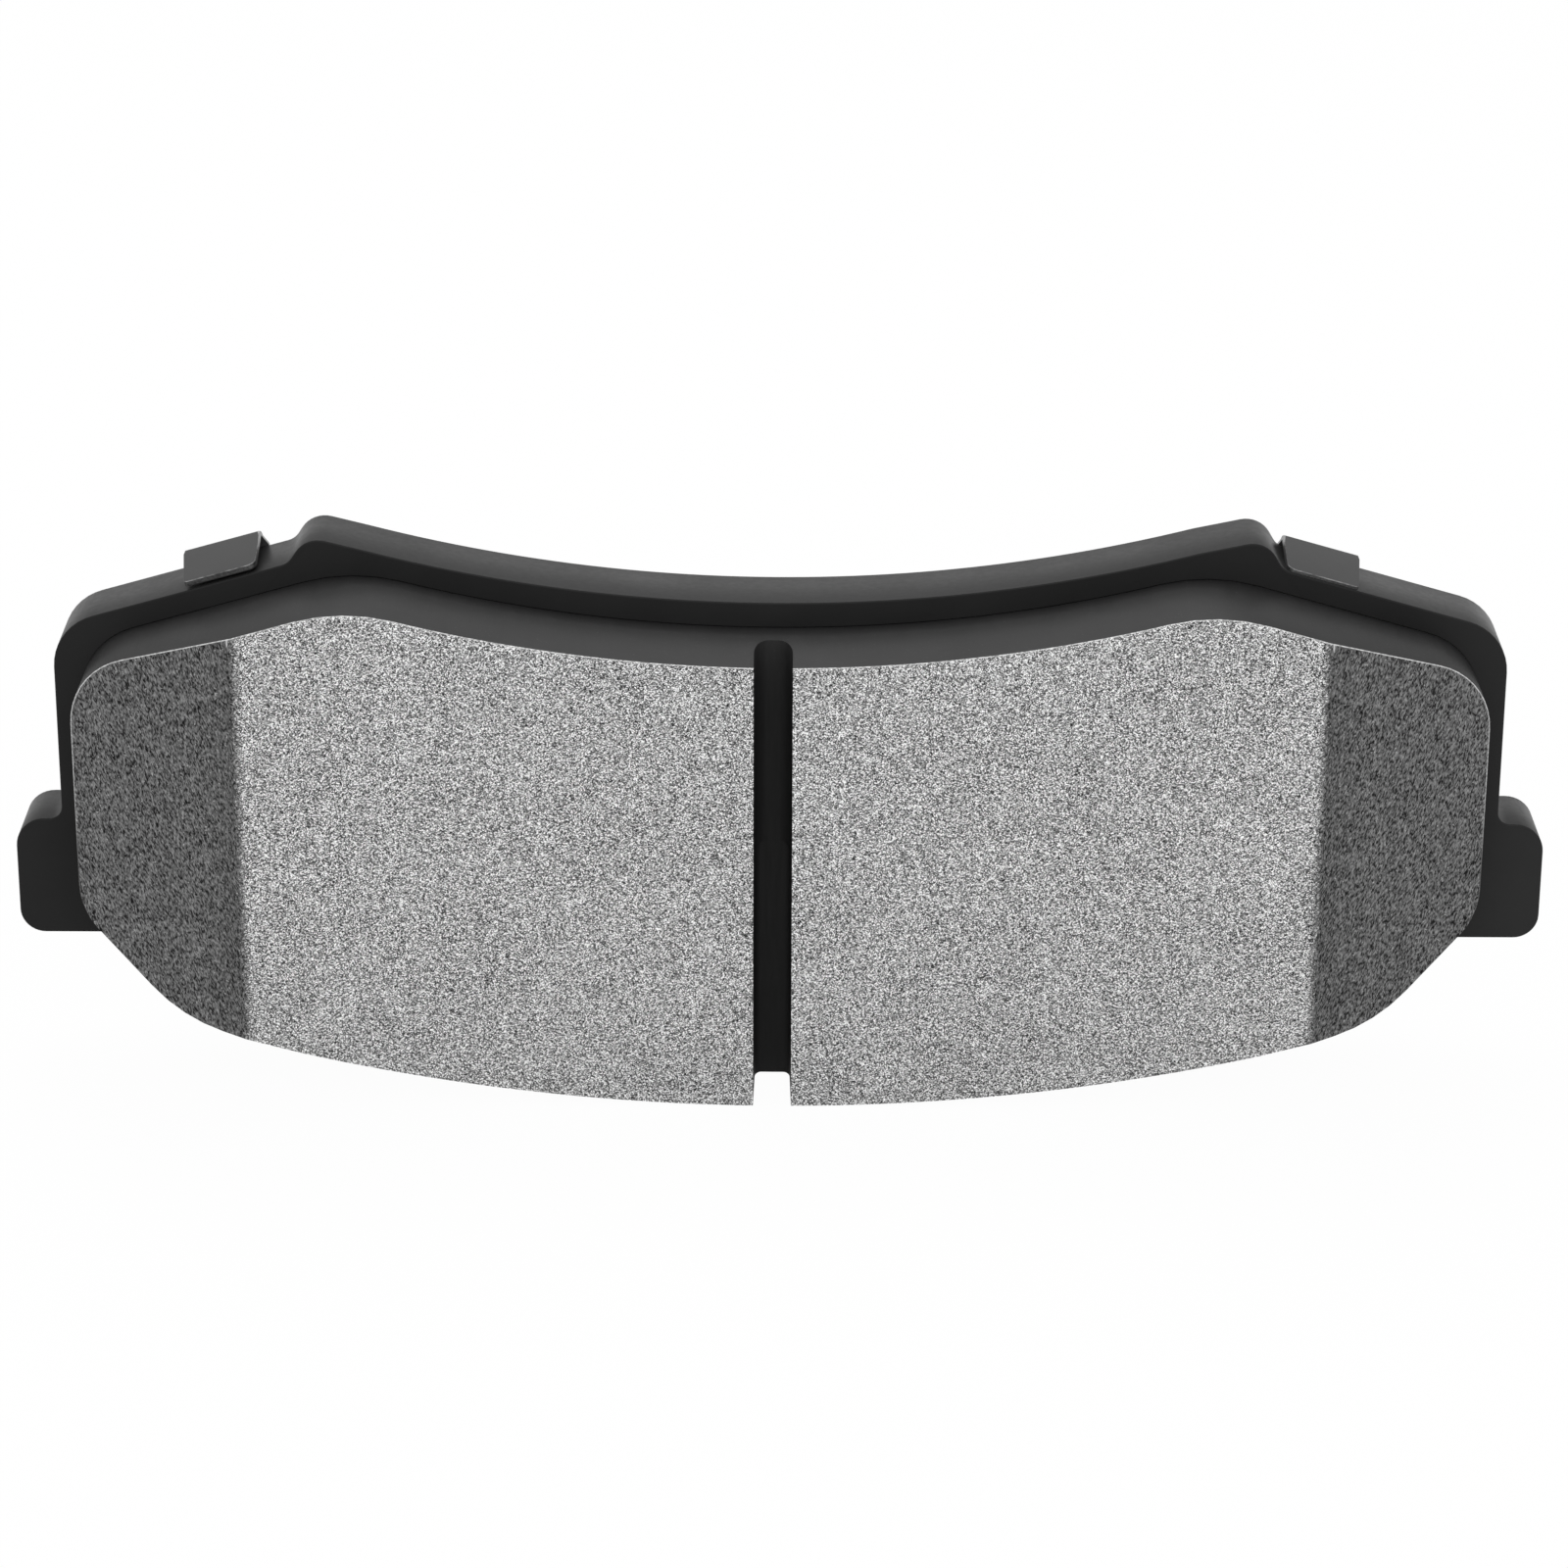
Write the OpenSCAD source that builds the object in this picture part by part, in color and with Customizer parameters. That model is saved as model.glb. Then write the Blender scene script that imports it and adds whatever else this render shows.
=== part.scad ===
// Disc brake pad: steel backing plate with two guide ears, slotted and chamfered
// friction lining on its underlayer, and a clip-on anti-squeal shim.
// X runs along the pad, Y through its thickness, Z towards the hub.
// The friction face looks along -Y. Y = 0 is the back face of the shim.

/* [Backing plate] */
// Thickness of the steel plate
plate_t = 6.4; // [5:0.1:7]
// Half the plate's width between its two side edges
plate_half_w = 57.9; // [57.2:0.1:59]
// Height of the hollow inner edge at mid pad
plate_top_z = 19; // [18.6:0.1:19.4]
// Radius of the hollow inner edge
plate_top_r = 129.5; // [126:0.5:134]
// Width over both guide ears
ear_span = 123.4; // [121.5:0.1:124.4]
// Height of an ear's upper edge
ear_top_z = 0.3; // [-1:0.1:1.5]
// Height of an ear's lower edge
ear_low_z = -9.65; // [-10.5:0.05:-8.5]
// Radius of the outer edge, that of the disc it rubs on
outer_r = 165; // [160:1:172]
// Height of the lowest point of the outer edge
low_z = -20.5; // [-20.9:0.1:-20.1]
// Diameter of the holes that key the lining to the plate
key_d = 9; // [6:0.5:11]

/* [Friction lining] */
// Thickness of the friction block
block_t = 7.45; // [7:0.05:8.5]
// Thickness of the underlayer
underlayer_t = 1.9; // [1.5:0.1:2.4]
// Thickness of the bonding film
bond_t = 0.15; // [0.1:0.05:0.2]
// Half the lining's width
lining_half_w = 55.8; // [55:0.1:56.2]
// Height of the lining's hollow inner edge at mid pad
lining_top_z = 17; // [16.6:0.1:17.4]
// Radius of the lining's hollow inner edge
lining_top_r = 123; // [119:0.5:127]
// Distance from mid pad to where each end chamfer starts
chamfer_x = 42.6; // [38:0.1:48]
// Angle of the end chamfers
chamfer_deg = 12.7; // [8:0.1:18]
// Width of the slot at the friction face
slot_w = 3.05; // [2.4:0.05:4]
// Depth of the slot
slot_d = 6.4; // [5:0.1:6.8]
// Sideways shift of the slot from mid pad
slot_shift = -0.55; // [-1:0.05:1]

/* [Shim] */
// Thickness of the shim's steel sheet
steel_t = 0.3; // [0.25:0.05:0.5]
// Thickness of each rubber coat
coat_t = 0.08; // [0.06:0.01:0.12]
// Thickness of the glue between the plate and the shim
glue_t = 0.1; // [0.08:0.01:0.15]
// Gap between the edge of the plate and the edge of the shim
shim_inset = 1.2; // [1:0.1:2]
// Sideways shift of the shim on the plate
shim_shift = -0.75; // [-0.8:0.05:0.8]
// Width of a tab at its fold
tab_w = 6.4; // [5:0.1:7]
// How far a tab reaches forward over the plate's edge
tab_reach = 6.1; // [3:0.1:6.3]

/* [Hidden] */

// Layers through the thickness, from the back face forward
shim_t = steel_t + 2 * coat_t;
outer_coat_y = 0;
steel_y = -coat_t;
inner_coat_y = steel_y - steel_t;
glue_y = -shim_t;
plate_back_y = glue_y - glue_t;
plate_front_y = plate_back_y - plate_t;
underlayer_y = plate_front_y - bond_t;
block_back_y = underlayer_y - underlayer_t;
face_y = block_back_y - block_t;

// Corners of the plate, as [x, z, corner radius]
shoulder_slope = -0.285;
crest = [37.9, 24.4, 2.2];
notch = [39.35, 22.02, 1.5];
crest_shift = 0.4;   // both steps of the inner edge sit this far to the +X side
plate_corner_r = 4.5;
ear_root_r = 1;
ear_upper_r = 2.4;
ear_lower_r = 2;
ear_x = ear_span / 2;
ear_inner = [52.5, ear_low_z, 2.5];
flank_slope = 1.075;
plate_heel_r = 12;

// Corners of the lining
lining_crest = [33.94, 21.73, 15];
lining_corner_r = 6;
lining_flank_z = -4.84;
lining_flank_r = 5.5;
lining_heel_r = 12;

arc_steps = 24;      // points along each long arc
corner_step = 9;     // degrees between the points of a rounded corner
through = 1;         // how far a cutter runs past the face it opens

key_x = [-37, -13.5, 13.5, 37];
key_z = -2;

// Rounding of the slot floor's corners, [across, deep], at its hub end and at its outer end
slot_hub_corner = [1.1, 3];
slot_outer_corner = [0.55, 1];
slot_draft = 0.1;    // how much the outer end narrows on each side down to the floor
slot_change_z = 0;   // height where one end's section gives way to the other's
slot_corner_steps = 8;

tab_fold_r = 0.35;   // inside radius of the fold
tab_rise = 0.35;     // height of the fold's centre above the plate's edge
tab_tip_gap = 0.03;  // gap between a tab's tip and the plate's edge
tab_tip_r = [0.8, 0.4];      // rounding of a tab's tip, inner and outer corner
tab_flare = [0.3, 0.5];      // extra width of a tab's root, inner and outer side
tab_flare_z = [0.5, -0.2];   // heights between which the root widens
tab_taper = 0.5;     // how much the outer side leans in towards the tip
tab_shoulder_r = 0.25;       // rounding of the two corners at the fold
fold_clear = 0.02;   // how far those corners' outline stands above the fold's crest
upper_tab_x = 43.8;
lower_tab_x = 30;

function shoulder_z(x) = notch[1] + shoulder_slope * (x - notch[0]);

// Height at x of an arc of radius r whose lowest point is at height z on the centre line
function arc_z(x, z, r) = z + r - sqrt(r * r - x * x);
function arc_points(x0, x1, z, r) =
    [for (i = [0 : arc_steps]) let (x = x0 + (x1 - x0) * i / arc_steps) [x, arc_z(x, z, r), 0]];

// Height at x of the straight flank that runs down from the point [x0, z0]
function flank_z(x, x0, z0) = z0 + flank_slope * (x - x0);

// Where the flank from [x0, z0] meets the outer arc, by halving
function heel_x(x0, z0, low = 40, high = 54, n = 24) =
    n == 0 ? (low + high) / 2
    : let (mid = (low + high) / 2)
      flank_z(mid, x0, z0) < arc_z(mid, low_z, outer_r)
      ? heel_x(x0, z0, mid, high, n - 1) : heel_x(x0, z0, low, mid, n - 1);

// A closed outline from its +X half and the half to be mirrored to the -X side
function both_sides(right, left) =
    concat(right, [for (i = [len(left) - 1 : -1 : 0]) [-left[i][0], left[i][1], left[i][2]]]);

// The step of the plate's inner edge, from its crest down to the shoulder, moved outwards by shift
function inner_step(shift) =
    [[crest[0] + shift, crest[1], crest[2]],
     [notch[0] + shift, shoulder_z(notch[0] + shift), notch[2]]];

// The half outlines run from the inner edge, round the +X end, to the outer edge
function plate_half(shift) =
    let (heel = heel_x(ear_inner[0], ear_inner[1]))
    concat(
        arc_points(0.5, 33, plate_top_z, plate_top_r),
        inner_step(shift),
        [[plate_half_w, shoulder_z(plate_half_w), plate_corner_r],
         [plate_half_w, ear_top_z, ear_root_r],
         [ear_x, ear_top_z, ear_upper_r],
         [ear_x, ear_low_z, ear_lower_r],
         ear_inner,
         [heel, arc_z(heel, low_z, outer_r), plate_heel_r]],
        arc_points(40, 0.5, low_z, outer_r));

// The shim has the plate's outline without its ears
function body_half(shift) =
    let (heel = heel_x(ear_inner[0], ear_inner[1]))
    concat(
        arc_points(0.5, 33, plate_top_z, plate_top_r),
        inner_step(shift),
        [[plate_half_w, shoulder_z(plate_half_w), plate_corner_r],
         [plate_half_w, flank_z(plate_half_w, ear_inner[0], ear_inner[1]), lining_flank_r],
         [heel, arc_z(heel, low_z, outer_r), plate_heel_r]],
        arc_points(40, 0.5, low_z, outer_r));

function plate_outline() = both_sides(plate_half(crest_shift), plate_half(-crest_shift));
function body_outline() = both_sides(body_half(crest_shift), body_half(-crest_shift));

function lining_half() =
    let (heel = heel_x(lining_half_w, lining_flank_z),
         end_z = lining_crest[1] + shoulder_slope * (lining_half_w - lining_crest[0]))
    concat(
        arc_points(0.5, 29, lining_top_z, lining_top_r),
        [lining_crest,
         [lining_half_w, end_z, lining_corner_r],
         [lining_half_w, lining_flank_z, lining_flank_r],
         [heel, arc_z(heel, low_z, outer_r), lining_heel_r]],
        arc_points(38, 0.5, low_z, outer_r));

// 2D helpers for the outlines
function xy(p) = [p[0], p[1]];
function unit(v) = v / norm(v);
function left_of(v) = [-v[1], v[0]];
function cross_2d(a, b) = a[0] * b[1] - a[1] * b[0];
function at(path, i) = path[(i + len(path)) % len(path)];

// The points of one corner, rounded to its radius
function corner(before, here, after) =
    let (a = unit(xy(before) - xy(here)), b = unit(xy(after) - xy(here)),
         between = acos(max(-1, min(1, a * b))), turn = 180 - between)
    here[2] == 0 || turn < 0.5 ? [xy(here)]
    : let (reach = here[2] * tan(turn / 2),
           centre = xy(here) + unit(a + b) * here[2] / sin(between / 2),
           start = xy(here) + a * reach - centre,
           side = cross_2d(a, b) < 0 ? 1 : -1,
           steps = max(2, ceil(turn / corner_step)))
      [for (i = [0 : steps]) let (t = side * turn * i / steps)
          centre + [start[0] * cos(t) - start[1] * sin(t), start[0] * sin(t) + start[1] * cos(t)]];

function rounded(path) =
    [for (i = [0 : len(path) - 1]) each corner(at(path, i - 1), path[i], at(path, i + 1))];

// A clockwise outline moved inwards by d, corner radii with it
function inset(path, d) =
    [for (i = [0 : len(path) - 1])
        let (p = path[i], u = unit(xy(p) - xy(at(path, i - 1))), v = unit(xy(at(path, i + 1)) - xy(p)),
             mid = unit(left_of(u) + left_of(v)), turn = cross_2d(u, v),
             r = p[2] == 0 ? 0 : max(0.3, p[2] + (turn < 0 ? -d : d)),
             q = xy(p) - mid * d / (mid * left_of(u)))
        [q[0], q[1], r]];

// Stands an X-Z outline up as a plate from y back to y - t
module standing(y, t) {
    translate([0, y, 0]) rotate([90, 0, 0]) linear_extrude(height = t) children();
}

module key_cylinders(d, y0, length) {
    for (x = key_x)
        translate([x, y0, key_z + arc_z(x, 0, outer_r)]) rotate([90, 0, 0])
            cylinder(d = d, h = length, $fn = 64);
}

module lining_layer(y, t) {
    standing(y, t) polygon(rounded(both_sides(lining_half(), lining_half())));
}

module backing_plate() {
    color("#262626") difference() {
        standing(plate_back_y, plate_t) polygon(rounded(plate_outline()));
        key_cylinders(key_d, plate_back_y + through, plate_t + 2 * through);
    }
}

module bonding_film() {
    color("#3a2a1c") difference() {
        lining_layer(plate_front_y, bond_t);
        key_cylinders(key_d, plate_front_y + through, bond_t + 2 * through);
    }
}

// The underlayer is moulded through the film into the plate's key holes
module underlayer() {
    color("#3c3c3c") union() {
        lining_layer(underlayer_y, underlayer_t);
        key_cylinders(key_d, plate_back_y, plate_t + bond_t + underlayer_t / 2);
    }
}

// Slot section in X-Y: sides with a draft, and a floor whose corners are quarter ellipses
module slot_section(corner, draft) {
    half = slot_w / 2;
    floor_half = half - draft;
    side = concat([[half, -through], [half, 0]],
        [for (i = [0 : slot_corner_steps]) let (a = 90 * i / slot_corner_steps)
            [floor_half - corner[0] * (1 - cos(a)), slot_d - corner[1] * (1 - sin(a))]]);
    polygon(concat(side, [for (i = [len(side) - 1 : -1 : 0]) [-side[i][0], side[i][1]]]));
}

// The slot is full-radiused towards the hub and squarer towards the outer edge
module slot() {
    far = 50;
    translate([slot_shift, face_y, slot_change_z]) {
        linear_extrude(height = far) slot_section(slot_hub_corner, 0);
        translate([0, 0, -far]) linear_extrude(height = far) slot_section(slot_outer_corner, slot_draft);
    }
}

module end_chamfer() {
    translate([chamfer_x, face_y, -50]) rotate([0, 0, chamfer_deg])
        translate([0, -20, 0]) cube([40, 20, 100]);
}

module friction_block() {
    color("#a8a8a8") difference() {
        lining_layer(block_back_y, block_t);
        slot();
        end_chamfer();
        mirror([1, 0, 0]) end_chamfer();
    }
}

// Line of a tab in Y-Z, at distance d from the face that lies against the plate.
// It climbs the plate's back, folds forward, and comes down on the plate's edge.
fold_centre = [plate_back_y + glue_t - tab_fold_r, tab_rise];
tab_tip = [plate_back_y - tab_reach, tab_tip_gap];
tip_line = fold_centre - tab_tip;
leaf_slope = atan2(tip_line[1], tip_line[0]) + asin(tab_fold_r / norm(tip_line));
leaf_length = sqrt(tip_line * tip_line - tab_fold_r * tab_fold_r);
sheet_overlap = 1;   // how far a tab's root runs down into the sheet

function tab_line(d) =
    let (r = tab_fold_r + d, turn = 90 + leaf_slope, steps = 8)
    concat(
        [[fold_centre[0] + r, -shim_inset - sheet_overlap]],
        [for (i = [0 : steps]) let (a = turn * i / steps) fold_centre + r * [cos(a), sin(a)]],
        [fold_centre + r * [cos(turn), sin(turn)] - leaf_length * [cos(leaf_slope), sin(leaf_slope)]]);

// Outline of a tab from above: full width behind the fold, rounded at the tip
module tab_plan() {
    half = tab_w / 2;
    back = plate_back_y + through;
    front = tab_tip[0] - shim_t * sin(leaf_slope);
    polygon(rounded([[-half, front, tab_tip_r[0]], [-half, fold_centre[0], 0],
                     [-half - tab_flare[0], fold_centre[0], 0], [-half - tab_flare[0], back, 0],
                     [half + tab_flare[1], back, 0], [half + tab_flare[1], fold_centre[0], 0],
                     [half, fold_centre[0], 0], [half - tab_taper, front, tab_tip_r[1]]]));
}

// Outline of a tab from behind: the root widens where it joins the sheet
module tab_back_view() {
    half = tab_w / 2;
    high = tab_rise + tab_fold_r + shim_t + fold_clear;
    low = -shim_inset - sheet_overlap;
    polygon(rounded([[-half - tab_flare[0], low, 0], [-half - tab_flare[0], tab_flare_z[1], 0.6],
                     [-half, tab_flare_z[0], 0.8], [-half, high, tab_shoulder_r],
                     [half, high, tab_shoulder_r], [half, tab_flare_z[0], 0.8],
                     [half + tab_flare[1], tab_flare_z[1], 0.6],
                     [half + tab_flare[1], low, 0]]));
}

// One layer of a tab, between distances d0 and d1 from the plate, in the tab's own frame
module tab_layer(d0, d1) {
    outer = tab_line(d1);
    line = concat(tab_line(d0), [for (i = [len(outer) - 1 : -1 : 0]) outer[i]]);
    intersection() {
        rotate([90, 0, 90]) translate([0, 0, -tab_w]) linear_extrude(height = 2 * tab_w) polygon(line);
        translate([0, 0, -5]) linear_extrude(height = 10) tab_plan();
        standing(5, 20) tab_back_view();
    }
}

// Puts a tab on the plate's edge at the point [x, z], with that edge turned by deg
module on_edge(x, z, deg) {
    translate([x, 0, z]) rotate([0, -deg, 0]) children();
}

module tabs(d0, d1) {
    shoulder_deg = atan(shoulder_slope);
    low_deg = asin(lower_tab_x / outer_r);
    on_edge(upper_tab_x, shoulder_z(upper_tab_x), shoulder_deg) tab_layer(d0, d1);
    on_edge(lower_tab_x, arc_z(lower_tab_x, low_z, outer_r), 180 + low_deg) tab_layer(d0, d1);
}

// A layer of the coated shim, between distances d0 and d1 from the glue
module shim_layer(d0, d1) {
    translate([shim_shift, 0, 0]) union() {
        standing(plate_back_y + glue_t + d1, d1 - d0)
            polygon(rounded(inset(body_outline(), shim_inset)));
        tabs(d0, d1);
        mirror([1, 0, 0]) tabs(d0, d1);
    }
}

module shim_glue() {
    color("#8a8468") translate([shim_shift, 0, 0])
        standing(glue_y, glue_t) polygon(rounded(inset(body_outline(), shim_inset + 1.5)));
}
module shim_inner_coat() { color("#1c1c1c") shim_layer(0, coat_t); }
module shim_steel() { color("#777777") shim_layer(coat_t, coat_t + steel_t); }
module shim_outer_coat() { color("#242424") shim_layer(coat_t + steel_t, shim_t); }

backing_plate();
bonding_film();
underlayer();
friction_block();
shim_glue();
shim_inner_coat();
shim_steel();
shim_outer_coat();
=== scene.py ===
# Disc brake pad: looks and lighting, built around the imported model.
import math

import bmesh
import bpy
from mathutils import Matrix, Vector


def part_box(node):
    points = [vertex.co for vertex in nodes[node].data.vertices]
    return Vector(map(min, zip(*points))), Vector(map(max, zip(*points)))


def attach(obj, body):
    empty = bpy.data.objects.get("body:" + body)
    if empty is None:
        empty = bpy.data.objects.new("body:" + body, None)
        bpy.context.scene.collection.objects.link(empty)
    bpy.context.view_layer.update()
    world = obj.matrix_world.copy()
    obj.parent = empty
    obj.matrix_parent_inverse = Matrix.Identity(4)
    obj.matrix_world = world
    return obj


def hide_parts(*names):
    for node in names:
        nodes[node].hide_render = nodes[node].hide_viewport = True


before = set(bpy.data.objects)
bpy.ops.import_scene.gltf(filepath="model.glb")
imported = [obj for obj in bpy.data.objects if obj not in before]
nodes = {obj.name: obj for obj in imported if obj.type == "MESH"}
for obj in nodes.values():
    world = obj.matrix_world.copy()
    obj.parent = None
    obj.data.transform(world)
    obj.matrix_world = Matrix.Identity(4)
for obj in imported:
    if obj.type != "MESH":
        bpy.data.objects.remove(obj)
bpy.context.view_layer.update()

MM = 0.001

# Where the layers lie along Y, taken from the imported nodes; the friction face looks along -Y.
plate_low, plate_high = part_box("backing_plate")
block_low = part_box("friction_block")[0]
PLATE_FRONT, PLATE_BACK = plate_low.y, plate_high.y
FILM_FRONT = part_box("bonding_film")[0].y
FACE_Y = block_low.y
FLOOR_Z = block_low.z

CHAMFER_X = 42.6 * MM        # where each end chamfer leaves the flat face
CHAMFER_ANGLE = math.radians(12.7)
SLOT_X = -0.55 * MM
SLOT_HALF = 1.53 * MM        # just past the slot's side walls
SLOT_DEPTH = 6.4 * MM

EDGE_ROLL = 0.13 * MM        # rounding of the blanked plate's front edge
BACK_ROLL = 0.15 * MM        # and of its back edge
BOND_ROLL = 0.03 * MM        # rounding where the underlayer meets the bond line
SLOT_MOUTH = 0.22 * MM       # rounding of the slot's mouth in the outer edge
RIM = 0.070 * MM             # the lining's broken front edge
WORN_EDGE = 0.06 * MM        # rubbed outer edge of the shim's skin

WELD = 0.002 * MM            # a copy's corners nearer than this are joined
FLAT = math.radians(0.15)    # and its faces that meet at less than this are one
CLOSE = 0.01 * MM            # two places nearer than this are the same
SHARP = math.radians(40)     # faces that meet at more than this make an edge
SMOOTH = math.radians(30)    # and those that meet at less are shaded as one
FACING = 0.97                # a face whose normal has this much of -Y looks forward


# ---------------------------------------------------------------- shader maths

class Value:
    """A number on a material's nodes; Python's operators add the Math nodes."""

    def __init__(self, finish, socket):
        self.finish = finish
        self.socket = socket

    def math(self, operation, *others):
        return self.finish.node("ShaderNodeMath", {"operation": operation}, dict(enumerate((self, *others))))

    def __add__(self, other):
        return self.math("ADD", other)

    def __sub__(self, other):
        return self.math("SUBTRACT", other)

    def __rsub__(self, other):
        return self.finish.node("ShaderNodeMath", {"operation": "SUBTRACT"}, {0: other, 1: self})

    def __mul__(self, other):
        return self.math("MULTIPLY", other)

    def __abs__(self):
        return self.math("ABSOLUTE")

    def ramp(self, low, high, out_low=0.0, out_high=1.0):
        """The value moved from low..high to out_low..out_high, held at both ends."""
        return self.finish.node("ShaderNodeMapRange", {"clamp": True},
                                {0: self, 1: low, 2: high, 3: out_low, 4: out_high})

    def spread(self, low, high):
        """Noise, which lies mostly between 0.3 and 0.7, spread over low..high."""
        return self.ramp(0.3, 0.7, low, high)

    def step(self, low, high):
        """0 below low, 1 above high, eased between."""
        return self.finish.node("ShaderNodeMapRange", {"interpolation_type": "SMOOTHSTEP"},
                                {0: self, 1: low, 2: high, 3: 0.0, 4: 1.0})


class Finish:
    """A material on one Principled shader."""

    def __init__(self, name, **sockets):
        self.material = bpy.data.materials.new(name)
        self.material.use_nodes = True
        self.tree = self.material.node_tree
        self.shader = self.tree.nodes["Principled BSDF"]
        for socket, value in sockets.items():
            self.set(socket.replace("_", " "), value)

    def set(self, socket, value):
        self.put(self.shader.inputs[socket], value)

    def put(self, socket, value):
        if isinstance(value, Value):
            self.tree.links.new(value.socket, socket)
        elif socket.type == "RGBA" and not hasattr(value, "__len__"):
            socket.default_value = (value, value, value, 1.0)
        else:
            socket.default_value = value

    def node(self, kind, settings=None, inputs=None, out=0):
        made = self.tree.nodes.new(kind)
        for key, value in (settings or {}).items():
            setattr(made, key, value)
        for key, value in (inputs or {}).items():
            self.put(made.inputs[key], value)
        return Value(self, made.outputs[out])

    def place(self, scale=(1, 1, 1), turn=(0, 0, 0), mirrored=False):
        """Object coordinates in millimetres, turned and then stretched; mirrored folds X at mid pad."""
        where = self.node("ShaderNodeTexCoord", out="Object")
        if mirrored:
            x, y, z = (self.axis(index, where) for index in range(3))
            where = self.node("ShaderNodeCombineXYZ", inputs={0: abs(x), 1: y, 2: z})
        turned = self.node("ShaderNodeMapping", {"vector_type": "POINT"},
                           {"Vector": where, "Rotation": turn, "Scale": (1 / MM,) * 3})
        return self.node("ShaderNodeVectorMath", {"operation": "MULTIPLY"}, {0: turned, 1: scale})

    def axis(self, index, vector=None):
        """One coordinate: X, Y and Z are 0, 1 and 2."""
        return self.node("ShaderNodeSeparateXYZ", inputs={0: vector or self.place()}, out=index)

    def past_chamfer_line(self):
        """Millimetres outwards of the line where the end chamfer on either side starts."""
        return abs(self.axis(0)) - CHAMFER_X / MM

    def noise(self, size, detail=2.0, rough=0.5, at=None):
        """Cloudy noise whose blobs are about size millimetres across."""
        return self.node("ShaderNodeTexNoise", None,
                         {"Vector": at or self.place(), "Scale": 1 / size, "Detail": detail,
                          "Roughness": rough})

    def grains(self, size):
        """Crystals about size millimetres across, each with its own number from 0 to 1."""
        return self.axis(0, self.node("ShaderNodeTexVoronoi", {"feature": "F1"},
                                      {"Vector": self.place(), "Scale": 1 / size}, out="Color"))

    def mix(self, factor, first, second):
        made = self.tree.nodes.new("ShaderNodeMix")
        made.data_type = "RGBA"
        self.put(made.inputs[0], factor)
        self.put(made.inputs[6], first)
        self.put(made.inputs[7], second)
        return Value(self, made.outputs[2])

    def grey(self, value):
        """A neutral colour from one number."""
        return self.node("ShaderNodeCombineColor", None, {0: value, 1: value, 2: value})

    def bump(self, height, depth):
        """Relief: height 0..1 stands for depth millimetres."""
        self.set("Normal", self.node("ShaderNodeBump", None,
                                     {"Strength": 1.0, "Distance": depth * MM, "Height": height}))


def coated_plate():
    """Black powder coat: faint orange peel and a slightly uneven gloss."""
    coat = Finish("plate_black_coat", Specular_IOR_Level=0.082)
    peel = coat.noise(0.55, detail=2.0)
    cloud = coat.noise(9.0, detail=3.0)
    speck = coat.noise(0.12, detail=1.0)
    # painted light: the coat is painted a little lighter and greyer towards the +X ear
    painted_light_to_plus_x_ear = coat.axis(0).ramp(50, 60, 0.0, 0.006)
    tone = cloud.spread(0.0135, 0.0170) + speck.ramp(0.70, 0.8, 0.0, 0.01) + painted_light_to_plus_x_ear
    coat.set("Base Color", coat.grey(tone))
    coat.set("Roughness", cloud.spread(0.33, 0.41) + peel.ramp(0.35, 0.65, -0.02, 0.02))
    coat.bump(peel * 0.8 + speck * 0.2, 0.006)
    return coat


def moulded_wall():
    """Pressed side of the lining: dense, smooth, with the mould's draw marks along Y."""
    wall = Finish("lining_wall", Specular_IOR_Level=0.105)
    draw = wall.noise(1.0, detail=3.0, at=wall.place(scale=(3.2, 0.16, 3.2)))
    grain = wall.noise(0.16, detail=2.0)
    cloud = wall.noise(5.0, detail=2.0)
    fleck = grain.step(0.68, 0.74)
    base = cloud.spread(0.0195, 0.0235) + draw.ramp(0.35, 0.65, -0.001, 0.001)
    wall.set("Base Color", wall.grey(base + fleck * 0.03))
    wall.set("Roughness", draw.spread(0.42, 0.47))
    wall.bump(draw * 0.25 + grain * 0.6, 0.005)
    return wall


def ground_tone(front):
    """Ground flat of the friction face: pale binder, dark graphite pits and bright metal flecks."""
    fine = front.noise(0.05, detail=1.0, rough=0.6).spread(0.0, 1.0)
    grit = front.grains(0.08)
    cloud = front.noise(7.0, detail=3.0)
    mixed = grit * 0.75 + fine * 0.25
    pits = 1 - mixed.ramp(0.17, 0.46)
    flecks = mixed.ramp(0.50, 0.82)
    binder = cloud.spread(0.185, 0.220)
    return binder - pits * 0.21 + flecks * 0.80, mixed


def felt_tone(front):
    """End chamfers: scorched, felted fibres that lean outwards."""
    leaning = front.place(scale=(1.0, 1.0, 0.28), turn=(0, math.radians(-22), 0), mirrored=True)
    crossing = front.place(scale=(1.0, 1.0, 0.42), turn=(0, math.radians(8), 0), mirrored=True)
    strand = front.noise(0.10, detail=1.0, at=leaning)
    strand_2 = front.noise(0.12, detail=1.0, at=crossing)
    tuft = front.noise(0.8, detail=3.0)
    speck = front.noise(0.14, detail=1.0).ramp(0.67, 0.75)
    fibres = strand * 0.65 + strand_2 * 0.35
    # the grinding of the face has smeared the first stretch a little darker
    smear = front.past_chamfer_line().ramp(0.1, 2.8, 0.80, 1.0)
    tone = (fibres.ramp(0.395, 0.70, 0.004, 0.272) + tuft.spread(-0.02, 0.02)) * smear
    return tone + speck * 0.25, fibres


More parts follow.
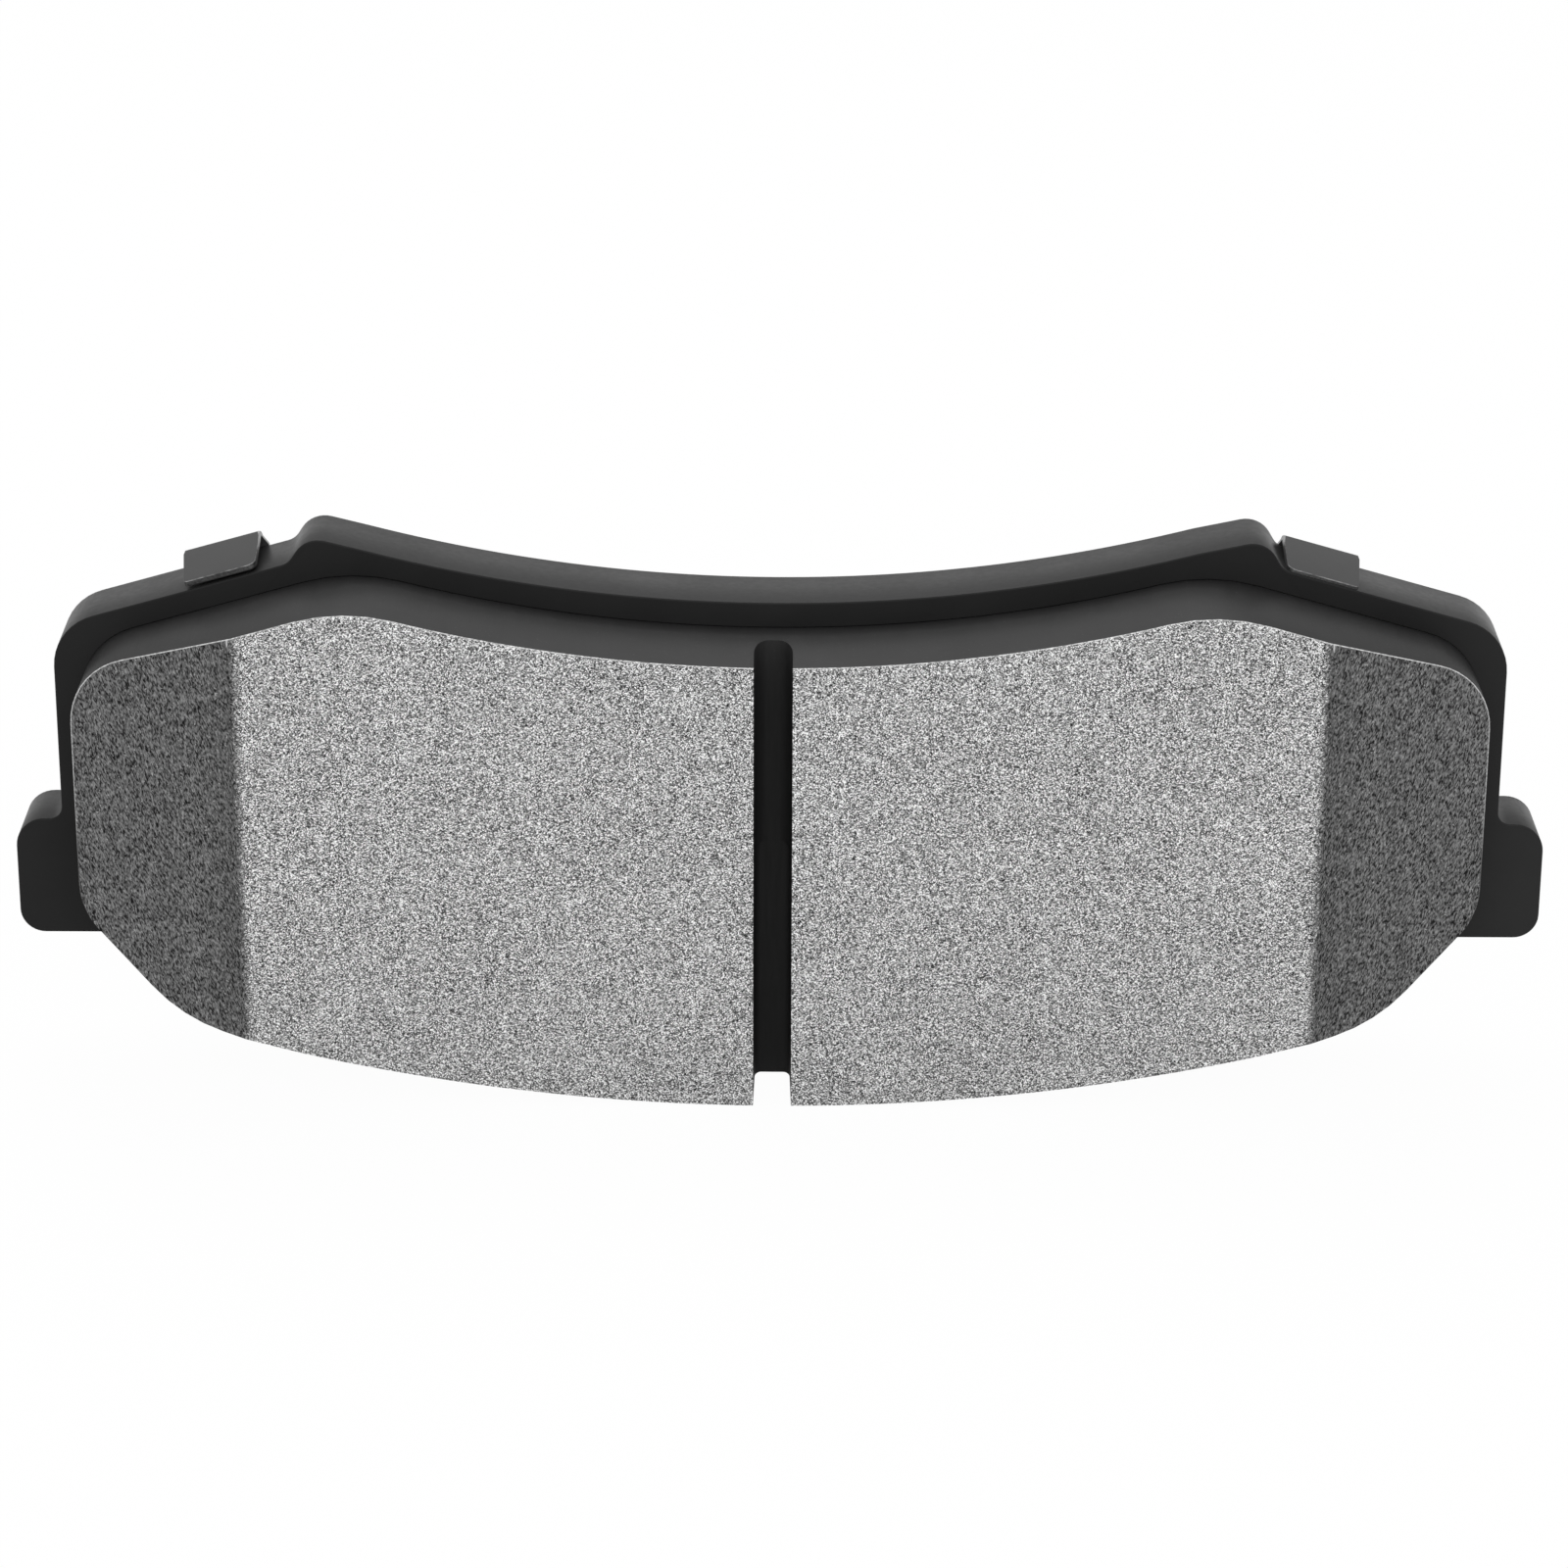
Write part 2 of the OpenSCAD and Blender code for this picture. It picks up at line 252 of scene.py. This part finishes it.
def lining_front(line_end):
    """Flat and chamfers in one finish, so that the grinding runs out softly over the chamfer line."""
    front = Finish("lining_front", Specular_IOR_Level=0.2)
    flat, flat_relief = ground_tone(front)
    felt, felt_relief = felt_tone(front)
    out = front.past_chamfer_line()
    ragged = front.noise(0.2, detail=2.0) - 0.5
    chamfered = (out + ragged * 1.6).step(-0.72, 0.25)
    # a bright nick where the chamfer line runs out at the inner edge
    beside_nick = abs(out - 0.30)
    nick = beside_nick.ramp(0.04, 0.08, 1.0, 0.0) * front.axis(2).ramp(line_end - 0.8, line_end - 0.6)
    tone = flat * (1 - chamfered) + felt * chamfered + nick * 0.4
    front.set("Base Color", front.grey(tone))
    front.set("Roughness", chamfered.ramp(0.0, 1.0, 0.75, 0.85))
    front.bump(flat_relief * (1 - chamfered) * 0.3 + felt_relief * chamfered, 0.045)
    return front


def broken_edge_and_painted_highlight():
    """Thin ground rim round the friction face: a lighter broken edge with a painted highlight, brightest at
    the inner edge and grainy along the flat.
    """
    rim = Finish("lining_rim", Specular_IOR_Level=0.3)
    chatter = rim.noise(0.25, detail=2.0)
    grit = rim.grains(0.125)
    on_chamfer = rim.past_chamfer_line().ramp(-0.4, 0.2)
    # painted highlight: the rim is painted brighter towards the top, where the light falls from above
    painted_highlight_to_top = rim.axis(2).ramp(-1.0, 7.0, 0.12, 1.0)
    clean = chatter.ramp(0.35, 0.6, 0.34, 0.62) * painted_highlight_to_top
    grainy = grit.ramp(0.0, 1.0, 0.22, 0.85)
    rim.set("Base Color", rim.grey(clean * on_chamfer + grainy * (1 - on_chamfer)))
    rim.set("Roughness", 0.5)
    return rim


def slot_wall():
    """Sawn slot: dark floor and slightly darker sides."""
    slot = Finish("lining_slot", Specular_IOR_Level=0.08)
    saw = slot.noise(0.4, detail=2.0, at=slot.place(scale=(1.0, 1.0, 0.1)))
    off_centre = abs(slot.axis(0) - SLOT_X / MM)
    floor_or_side = off_centre.ramp(1.05, 1.45, 0.030, 0.024)
    slot.set("Base Color", slot.grey(floor_or_side + saw.spread(-0.002, 0.002)))
    slot.set("Roughness", 0.75)
    slot.bump(saw, 0.02)
    return slot


def bond_line():
    """Cured adhesive: a dull black line."""
    film = Finish("bond_film", Specular_IOR_Level=0.0)
    film.set("Base Color", film.grey(film.noise(0.3).spread(0.004, 0.008)))
    film.set("Roughness", 0.8)
    return film


def rubbed_rubber_and_highlight():
    """Outer edge of the shim's skin, rubbed pale and made paler still by a painted highlight."""
    worn_and_highlit = Finish("shim_rubbed_edge_and_highlight", Specular_IOR_Level=0.5)
    rub = worn_and_highlit.noise(0.6, detail=3.0)
    # partly wear, partly painted highlight: the rounded edge is painted far paler than the rest of the skin
    worn_and_highlit.set("Base Color", worn_and_highlit.grey(rub.ramp(0.35, 0.65, 0.10, 0.42)))
    worn_and_highlit.set("Roughness", 0.4)
    return worn_and_highlit


def rubber_coat(name, tone):
    """Nitrile coat on the shim: matt, very fine grain."""
    coat = Finish(name, Specular_IOR_Level=0.12)
    grain = coat.noise(0.09, detail=2.0)
    cloud = coat.noise(6.0, detail=3.0)
    coat.set("Base Color", coat.grey(cloud.spread(tone * 0.96, tone * 1.04)))
    coat.set("Roughness", cloud.spread(0.42, 0.5))
    coat.bump(grain, 0.006)
    return coat


def cut_steel():
    """Sheared edge of the shim's steel sheet."""
    steel = Finish("shim_cut_steel", Metallic=1.0)
    shear = steel.noise(0.12, detail=2.0)
    # the steel's edge is lighter along the sheet and darker towards the tabs' tips
    clean = steel.axis(1).ramp(-5.0, -1.0, 0.0, 0.18)
    steel.set("Base Color", steel.grey(shear.spread(0.09, 0.16) + clean))
    steel.set("Roughness", shear.spread(0.40, 0.52))
    return steel


def clear_glue():
    """Pressure-sensitive film."""
    glue = Finish("shim_glue_film", Specular_IOR_Level=0.4)
    cloud = glue.noise(3.0)
    glue.set("Base Color", glue.mix(cloud.spread(0.0, 1.0), (0.20, 0.19, 0.14, 1), (0.27, 0.25, 0.19, 1)))
    glue.set("Roughness", 0.3)
    return glue


# ---------------------------------------------------------------- pieces

def select_only(piece):
    if bpy.context.object and bpy.context.object.mode != "OBJECT":
        bpy.ops.object.mode_set(mode="OBJECT")
    bpy.ops.object.select_all(action="DESELECT")
    piece.select_set(True)
    bpy.context.view_layer.objects.active = piece


def merged_copy(node, name):
    """A copy of a CAD node with its triangles joined back into whole faces."""
    source = nodes[node]
    piece = bpy.data.objects.new(name, source.data.copy())
    piece.data.name = name
    piece.data.materials.clear()
    bpy.context.scene.collection.objects.link(piece)
    select_only(piece)
    bpy.ops.mesh.customdata_custom_splitnormals_clear()
    bpy.ops.object.mode_set(mode="EDIT")
    bpy.ops.mesh.select_all(action="SELECT")
    bpy.ops.mesh.remove_doubles(threshold=WELD)
    bpy.ops.mesh.dissolve_limited(angle_limit=FLAT)
    bpy.ops.mesh.select_all(action="DESELECT")
    bpy.ops.object.mode_set(mode="OBJECT")
    return piece


def bevel_edges(piece, chosen, width, segments):
    """Rounds the edges that chosen(middle, first normal, second normal) picks."""
    select_only(piece)
    bpy.ops.object.mode_set(mode="EDIT")
    bpy.ops.mesh.select_mode(type="EDGE")
    mesh = bmesh.from_edit_mesh(piece.data)
    for edge in mesh.edges:
        if len(edge.link_faces) != 2:
            edge.select = False
            continue
        middle = (edge.verts[0].co + edge.verts[1].co) / 2
        edge.select = bool(chosen(middle, edge.link_faces[0].normal, edge.link_faces[1].normal))
    mesh.select_flush_mode()
    bmesh.update_edit_mesh(piece.data)
    bpy.ops.mesh.bevel(offset=width, offset_type="OFFSET", segments=segments, profile=0.5,
                       affect="EDGES", clamp_overlap=True, miter_outer="SHARP")
    bpy.ops.mesh.select_all(action="DESELECT")
    bpy.ops.object.mode_set(mode="OBJECT")


def paint(piece, *finishes):
    """Gives the piece its first finish; each (finish, test) after it repaints the faces that test picks."""
    first, *rest = finishes
    piece.data.materials.append(first.material)
    for finish, test in rest:
        piece.data.materials.append(finish.material)
        index = len(piece.data.materials) - 1
        for face in piece.data.polygons:
            if test(face.center, face.normal):
                face.material_index = index


def smooth(piece):
    select_only(piece)
    bpy.ops.object.shade_smooth_by_angle(angle=SMOOTH)


def repaint(node, finish):
    """Gives a CAD node that is shown as it is its finish."""
    nodes[node].data.materials.clear()
    nodes[node].data.materials.append(finish.material)


def install(piece, node):
    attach(piece, "root")
    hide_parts(node)


def front_y(x):
    """Where the lining's front surface lies at x: flat, then falling back along the end chamfer."""
    return FACE_Y + max(0.0, abs(x) - CHAMFER_X) * math.tan(CHAMFER_ANGLE)


def across(at, first, second):
    """Picks the sharp edges, from the normals of the two faces that meet there."""
    return first.dot(second) < math.cos(SHARP)


def sharp_at(y):
    """Picks the sharp edges that lie in the plane at y."""
    return lambda at, first, second: across(at, first, second) and abs(at.y - y) < CLOSE


def make_plate():
    plate = merged_copy("backing_plate", "plate")
    bevel_edges(plate, sharp_at(PLATE_FRONT), EDGE_ROLL, 4)
    bevel_edges(plate, sharp_at(PLATE_BACK), BACK_ROLL, 2)
    paint(plate, coated_plate())
    smooth(plate)
    install(plate, "backing_plate")


def from_slot(at):
    return abs(at.x - SLOT_X)


def near_front(at, reach=2 * CLOSE):
    return at.y < front_y(at.x) + reach


def at_slot_mouth(at, first, second):
    """Picks the edges where the slot's sides run out through the lining's outer edge."""
    behind_face = at.y > FACE_Y + MM
    on_outer_edge = at.z < FLOOR_Z + 1.5 * MM
    on_side = abs(from_slot(at) - SLOT_HALF) < 0.12 * MM and max(abs(first.y), abs(second.y)) < 0.3
    return behind_face and on_outer_edge and on_side and across(at, first, second)


def at_front_edge(at, first, second):
    """Picks the edge round the friction face, but not its outer stretch and not the slot's edges."""
    inner_or_end = min(first.z, second.z) > -0.45
    clear_of_slot = from_slot(at) > SLOT_HALF + 0.1 * MM
    return inner_or_end and clear_of_slot and near_front(at) and across(at, first, second)


def on_front(at, normal):
    return normal.y < -FACING and near_front(at)


def on_rim(at, normal):
    return -FACING < normal.y < -0.15 and near_front(at, 1.2 * RIM) and from_slot(at) > SLOT_HALF


def in_slot(at, normal):
    inside = from_slot(at) < SLOT_HALF and FACE_Y < at.y < FACE_Y + SLOT_DEPTH + CLOSE
    # the faces that look up or down are the lining's own edge, but for the step in the slot's floor
    slot_side = abs(normal.z) < 0.3 or abs(at.z) < 2 * MM
    return inside and slot_side and not on_front(at, normal)


def chamfer_line_end(block):
    """Height in millimetres where the chamfer line meets the hollow inner edge."""
    beside = [v.co.z for v in block.data.vertices if abs(abs(v.co.x) - CHAMFER_X) < 0.2 * MM]
    return max(beside) / MM


def make_lining():
    wall = moulded_wall()
    under = merged_copy("underlayer", "underlayer_slab")
    bevel_edges(under, sharp_at(FILM_FRONT), BOND_ROLL, 2)
    paint(under, wall)
    smooth(under)
    install(under, "underlayer")

    block = merged_copy("friction_block", "friction_pad")
    bevel_edges(block, at_slot_mouth, SLOT_MOUTH, 3)
    bevel_edges(block, at_front_edge, RIM, 2)
    paint(block, wall, (lining_front(chamfer_line_end(block)), on_front), (broken_edge_and_painted_highlight(), on_rim),
          (slot_wall(), in_slot))
    smooth(block)
    install(block, "friction_block")


def longest_side(layer, face):
    corners = [layer.data.vertices[i].co for i in face.vertices]
    return max((a - b).length for a, b in zip(corners, corners[1:] + corners[:1]))


def on_worn_and_highlit_edge(layer):
    """Picks the narrow faces that the bevel and the thin edge walls leave round the skin."""
    small = 1.6 * WORN_EDGE
    narrow = {face.center.copy().freeze() for face in layer.data.polygons
              if face.area < small * max(longest_side(layer, face), small)}
    return lambda at, normal: at.copy().freeze() in narrow


def make_shim():
    layers = (("shim_inner_coat", "shim_inner_skin", "shim_rubber", rubber_coat("shim_inner_rubber", 0.04)),
              ("shim_steel", "shim_sheet", "shim_sheet", cut_steel()),
              ("shim_outer_coat", "shim_outer_skin", "shim_rubber", rubber_coat("shim_outer_rubber", 0.043)))
    for node, name, slot, finish in layers:
        layer = merged_copy(node, name)
        if node == "shim_outer_coat":
            bevel_edges(layer, across, WORN_EDGE, 1)
            paint(layer, finish, (rubbed_rubber_and_highlight(), on_worn_and_highlit_edge(layer)))
        else:
            paint(layer, finish)
        smooth(layer)
        install(layer, node)
    repaint("shim_glue", clear_glue())


make_plate()
repaint("bonding_film", bond_line())
make_lining()
make_shim()


# ---------------------------------------------------------------- floor, light, camera

def white_to_camera(tree, output, lit, kind, white):
    """Mixes lit with plain white for camera, mirror and glass rays; white is the share of white."""
    links, made = tree.links, tree.nodes
    path = made.new("ShaderNodeLightPath")
    seen = made.new("ShaderNodeMath")
    seen.operation = "MAXIMUM"
    links.new(path.outputs["Is Camera Ray"], seen.inputs[0])
    links.new(path.outputs["Is Glossy Ray"], seen.inputs[1])
    also = made.new("ShaderNodeMath")
    also.operation = "MAXIMUM"
    links.new(seen.outputs[0], also.inputs[0])
    links.new(path.outputs["Is Transmission Ray"], also.inputs[1])
    share = made.new("ShaderNodeMath")
    share.operation = "MULTIPLY"
    share.inputs[1].default_value = white
    links.new(also.outputs[0], share.inputs[0])
    plain = made.new(kind)
    plain.inputs["Color"].default_value = (1, 1, 1, 1)
    plain.inputs["Strength"].default_value = 1.0
    mixed = made.new("ShaderNodeMixShader")
    links.new(share.outputs[0], mixed.inputs[0])
    links.new(lit.outputs[0], mixed.inputs[1])
    links.new(plain.outputs[0], mixed.inputs[2])
    links.new(mixed.outputs[0], output.inputs["Surface"])


def make_floor():
    bpy.ops.object.select_all(action="DESELECT")
    bpy.ops.mesh.primitive_plane_add(size=FLOOR_SIZE, location=(0, 0, FLOOR_Z))
    floor = bpy.context.object
    floor.name = "floor"
    pale = bpy.data.materials.new("floor_pale")
    pale.use_nodes = True
    tree = pale.node_tree
    lit = tree.nodes["Principled BSDF"]
    lit.inputs["Base Color"].default_value = (0.88, 0.88, 0.88, 1)
    lit.inputs["Roughness"].default_value = 0.9
    # the small share that isn't plain white carries the shadow
    white_to_camera(tree, tree.nodes["Material Output"], lit, "ShaderNodeEmission", 0.97)
    floor.data.materials.append(pale)


def make_world():
    world = bpy.data.worlds.new("studio")
    bpy.context.scene.world = world
    world.use_nodes = True
    tree = world.node_tree
    lit = tree.nodes["Background"]
    lit.inputs["Color"].default_value = (1, 1, 1, 1)
    lit.inputs["Strength"].default_value = WORLD_LIGHT
    white_to_camera(tree, tree.nodes["World Output"], lit, "ShaderNodeBackground", 1.0)


def softbox(name, at, size, power):
    """A square lamp that looks at the pad; metres and watts."""
    lamp = bpy.data.lights.new(name, "AREA")
    lamp.shape = "SQUARE"
    lamp.size = size
    lamp.energy = power
    holder = bpy.data.objects.new(name, lamp)
    bpy.context.scene.collection.objects.link(holder)
    holder.location = at
    holder.rotation_euler = (-Vector(at)).to_track_quat("-Z", "Y").to_euler()


def make_camera():
    lens = bpy.data.cameras.new("camera")
    lens.sensor_width = 36.0
    lens.lens = FOCAL_LENGTH
    camera = bpy.data.objects.new("camera", lens)
    bpy.context.scene.collection.objects.link(camera)
    camera.matrix_world = (Matrix.Translation(Vector(CAMERA_AT) * MM)
                           @ Matrix.Rotation(math.radians(90 - CAMERA_DOWN), 4, "X")
                           @ Matrix.Rotation(math.radians(CAMERA_ROLL), 4, "Z"))
    bpy.context.scene.camera = camera


FLOOR_SIZE = 6.0             # metres
WORLD_LIGHT = 0.55
CAMERA_AT = (0.32, -372.43, 149.53)      # millimetres
CAMERA_DOWN = 21.77          # degrees
CAMERA_ROLL = 0.24           # degrees
FOCAL_LENGTH = 112.36        # millimetres, on a 36 mm frame

make_floor()
make_world()
softbox("top_back_softbox", (-0.05, 0.30, 0.60), 0.5, 2.2)
softbox("front_softbox", (0.05, -0.75, 0.45), 0.7, 3.2)
make_camera()
bpy.context.scene.view_settings.view_transform = "Standard"
